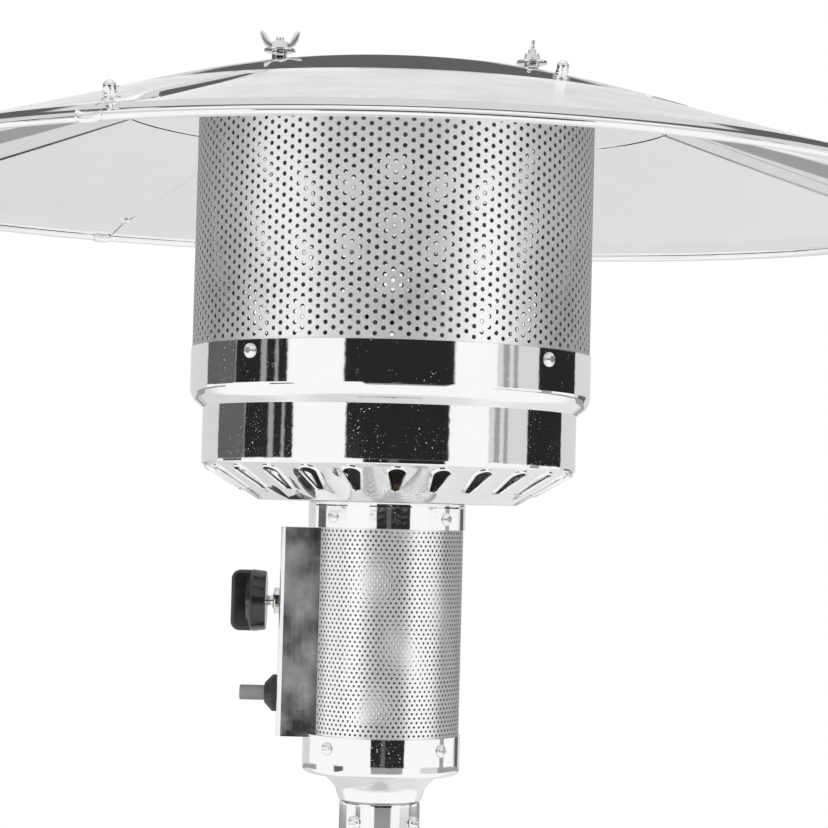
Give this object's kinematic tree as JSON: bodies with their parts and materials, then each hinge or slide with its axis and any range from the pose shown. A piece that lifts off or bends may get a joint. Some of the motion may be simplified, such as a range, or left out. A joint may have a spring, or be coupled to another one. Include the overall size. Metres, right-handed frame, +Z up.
{
  "type": "gas patio heater",
  "caption": "Free-standing gas patio heater: dish reflector over a perforated emitter, control housing with knob and igniter, post, lift-up tank cover, round base and wheels.",
  "frame": {"origin": "on the floor, at the centre of the base, under the post's axis", "axes": "+Z up the post, the control panel with its knob faces -X, the wheels are at +Y"},
  "size_m": [0.8128, 0.8128, 2.213],
  "materials": {
    "reflector_sheet": "bright polished sheet",
    "polished_steel": "mirror polished",
    "emitter_steel": "satin, heat resisting",
    "perforated_steel": "satin perforated sheet",
    "fastener_steel": "bright plated",
    "galvanised_steel": "zinc plated",
    "brass": "machined",
    "aluminium_pipe": "plain",
    "knob_plastic": "glossy black",
    "black_plastic": "satin black",
    "button_plastic": "satin grey",
    "ceramic": "glazed",
    "ballast_plastic": "moulded black",
    "foot_rubber": "black"
  },
  "bodies": {
    "stand": {"acorn_nuts": "fastener_steel", "ballast": "ballast_plastic", "base_feet": "foot_rubber", "base_pan": "polished_steel", "burner_drum": "emitter_steel", "burner_plate": "emitter_steel", "can_screws": "fastener_steel", "collar_bolts": "fastener_steel", "collar_screws": "fastener_steel", "control_box": "polished_steel", "emitter_screen": "emitter_steel", "emitter_top_plate": "emitter_steel", "flange_washers": "fastener_steel", "gas_jet": "brass", "gas_pipe": "aluminium_pipe", "gas_valve": "brass", "igniter_body": "black_plastic", "igniter_nut": "black_plastic", "inner_frame": "galvanised_steel", "leg_bolts": "fastener_steel", "lower_can": "polished_steel", "lower_collar": "polished_steel", "mixer_tube": "emitter_steel", "mount_bolts": "fastener_steel", "perforated_cover": "perforated_steel", "pilot_burner": "emitter_steel", "post": "polished_steel", "post_mount": "galvanised_steel", "post_screws": "fastener_steel", "post_spigot": "galvanised_steel", "reflector_centre": "reflector_sheet", "reflector_panel_1": "reflector_sheet", "reflector_panel_2": "reflector_sheet", "reflector_panel_3": "reflector_sheet", "reflector_studs": "fastener_steel", "seam_bolts": "fastener_steel", "spark_electrode": "ceramic", "spindle_nut": "fastener_steel", "stud_spacers": "fastener_steel", "support_leg_1": "galvanised_steel", "support_leg_2": "galvanised_steel", "support_leg_3": "galvanised_steel", "thermocouple": "emitter_steel", "tilt_switch": "black_plastic", "upper_can": "polished_steel", "upper_collar": "polished_steel", "wheel_axle": "fastener_steel", "wheel_bracket": "galvanised_steel", "wing_nuts": "fastener_steel"},
    "tank_cover": {"tank_cover": "polished_steel", "tank_cover_cap": "polished_steel"},
    "valve_plunger": {"thrust_collar": "brass"},
    "knob": {"knob": "knob_plastic", "valve_spindle": "fastener_steel"},
    "igniter_button": {"igniter_button": "button_plastic"},
    "wheel_left": {"wheel_left": "black_plastic"},
    "wheel_right": {"wheel_right": "black_plastic"}
  },
  "joints": [
    {"name": "tank_cover_lift", "type": "slide", "parent": "stand", "child": "tank_cover", "axis": [0, 0, 1], "range_m": [0, 0.5]},
    {"name": "knob_push", "type": "slide", "parent": "stand", "child": "valve_plunger", "axis": [1, 0, 0], "range_m": [0, 0.003], "stiffness_N_per_m": 800, "springref_m": -0.001},
    {"name": "knob_turn", "type": "hinge", "parent": "valve_plunger", "child": "knob", "pos_m": [-0.084, 0, 1.8174], "axis": [-1, 0, 0], "range_deg": [0, 180]},
    {"name": "igniter_press", "type": "slide", "parent": "stand", "child": "igniter_button", "axis": [1, 0, 0], "range_m": [0, 0.005], "stiffness_N_per_m": 1000, "springref_m": -0.001},
    {"name": "wheel_left_spin", "type": "hinge", "parent": "stand", "child": "wheel_left", "pos_m": [-0.066, 0.286, 0.058], "axis": [1, 0, 0], "continuous": true},
    {"name": "wheel_right_spin", "type": "hinge", "parent": "stand", "child": "wheel_right", "pos_m": [0.066, 0.286, 0.058], "axis": [1, 0, 0], "continuous": true}
  ]
}
